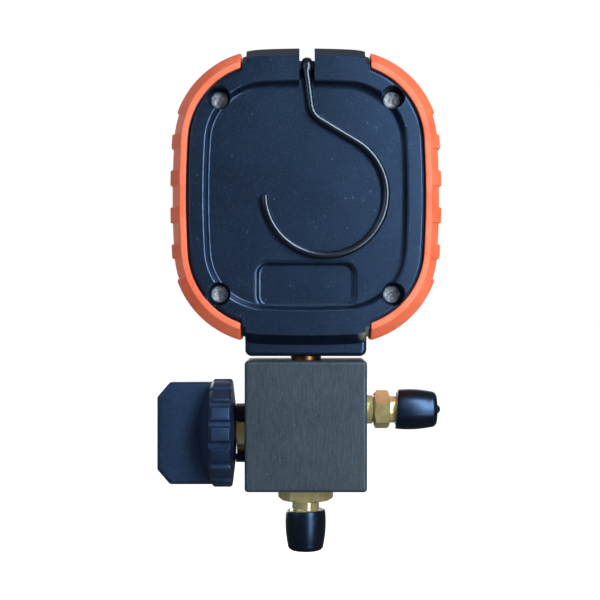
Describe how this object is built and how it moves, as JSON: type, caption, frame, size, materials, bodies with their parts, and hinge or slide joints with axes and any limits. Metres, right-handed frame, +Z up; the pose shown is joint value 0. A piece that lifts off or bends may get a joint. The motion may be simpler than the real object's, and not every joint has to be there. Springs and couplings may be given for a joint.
{
  "type": "refrigerant manifold gauge",
  "caption": "Single-valve refrigerant manifold gauge: dial case with bumpers and a fold-out hook, valve block with a knob, side and bottom flare ports under pull-off caps.",
  "frame": {"origin": "centre of the bottom flare port's nose face, on the port's axis", "axes": "+Z up along the bottom port and the gauge's stem, -Y out of the dial, +Y out of the back cover, +X towards the valve knob, -X towards the side port"},
  "size_m": [0.1, 0.038, 0.1759],
  "materials": {
    "case_plastic": "fine grain",
    "cover_plastic": "fine grain",
    "bumper_rubber": "satin",
    "screw_steel": "zinc plated",
    "hook_wire": "gloss black",
    "pin_steel": "satin",
    "bezel_plastic": "satin",
    "lens_clear": "clear",
    "gasket_rubber": "matte",
    "dial_paint": "satin white",
    "small_screws": "turned",
    "pointer_paint": "satin black",
    "gear_brass": "stamped",
    "shaft_steel": "ground",
    "tube_bronze": "drawn",
    "spring_bronze": "rolled",
    "socket_brass": "turned",
    "block_anodised": "dark anodised, brushed",
    "fitting_brass": "turned",
    "seal_white": "satin",
    "cap_rubber": "gloss",
    "ring_plastic": "satin",
    "piston_brass": "turned",
    "knob_plastic": "fine grain"
  },
  "bodies": {
    "housing": {"case_body": "case_plastic", "back_cover": "cover_plastic", "bumper_left": "bumper_rubber", "bumper_right": "bumper_rubber", "cover_screws": "screw_steel", "socket_screws": "screw_steel", "hook_pin": "pin_steel", "bezel_ring": "bezel_plastic", "lens": "lens_clear", "lens_gasket": "gasket_rubber", "dial_plate": "dial_paint", "dial_screws": "small_screws", "movement_screws": "small_screws", "movement_front_plate": "gear_brass", "movement_rear_plate": "gear_brass", "movement_pillars": "gear_brass", "bourdon_tube": "tube_bronze", "hairspring": "spring_bronze", "gauge_socket": "socket_brass", "manifold_block": "block_anodised", "side_fitting": "fitting_brass", "bottom_fitting": "fitting_brass", "valve_bonnet": "fitting_brass", "stem_seal": "seal_white", "side_seal": "seal_white", "bottom_seal": "seal_white", "stem_packing": "seal_white", "bonnet_ring": "ring_plastic"},
    "hook": {"hook": "hook_wire"},
    "sector": {"sector_gear": "gear_brass"},
    "pointer": {"pinion_shaft": "shaft_steel", "pointer": "pointer_paint"},
    "link": {"link": "gear_brass"},
    "tube_tip": {"tube_tip": "tube_bronze"},
    "piston": {"valve_piston": "piston_brass", "piston_seal": "seal_white", "piston_oring": "gasket_rubber"},
    "knob": {"knob": "knob_plastic", "valve_stem": "shaft_steel"},
    "side_cap": {"side_cap": "cap_rubber"},
    "bottom_cap": {"bottom_cap": "cap_rubber"}
  },
  "joints": [
    {"name": "hook_swing", "type": "hinge", "parent": "housing", "child": "hook", "pos_m": [-0.0004, 0.01315, 0.16475], "axis": [1, 0, 0], "range_deg": [0, 180]},
    {"name": "sector_swing", "type": "hinge", "parent": "housing", "child": "sector", "pos_m": [0.01471, 0, 0.10821], "axis": [0, -1, 0], "range_deg": [0, 38.57]},
    {"name": "pointer_turn", "type": "hinge", "parent": "housing", "child": "pointer", "pos_m": [0, 0, 0.12055], "axis": [0, 1, 0], "range_deg": [0, 270.01], "deforming": ["hairspring"]},
    {"name": "link_swing", "type": "hinge", "parent": "sector", "child": "link", "pos_m": [0.01886, 0, 0.10517], "axis": [0, -1, 0], "range_deg": [-38.6, 0]},
    {"name": "tube_flex", "type": "slide", "parent": "housing", "child": "tube_tip", "axis": [0.2907, 0, 0.9568], "range_m": [0, 0.00341], "deforming": ["bourdon_tube"]},
    {"name": "piston_travel", "type": "slide", "parent": "housing", "child": "piston", "axis": [1, 0, 0], "range_m": [0, 0.00251]},
    {"name": "valve_turn", "type": "hinge", "parent": "piston", "child": "knob", "pos_m": [0, 0, 0.0377], "axis": [1, 0, 0], "range_deg": [0, 720]},
    {"name": "side_cap_pull", "type": "slide", "parent": "housing", "child": "side_cap", "axis": [-1, 0, 0], "range_m": [0, 0.03]},
    {"name": "bottom_cap_pull", "type": "slide", "parent": "housing", "child": "bottom_cap", "axis": [0, 0, -1], "range_m": [0, 0.03]}
  ],
  "couplings": [
    {"joint": "pointer_turn", "follows": "sector_swing", "ratio": 7},
    {"joint": "link_swing", "follows": "sector_swing", "ratio": -1},
    {"joint": "tube_flex", "follows": "sector_swing", "m_per_rad": 0.0050505},
    {"joint": "piston_travel", "follows": "valve_turn", "m_per_rad": 0.00019894}
  ]
}
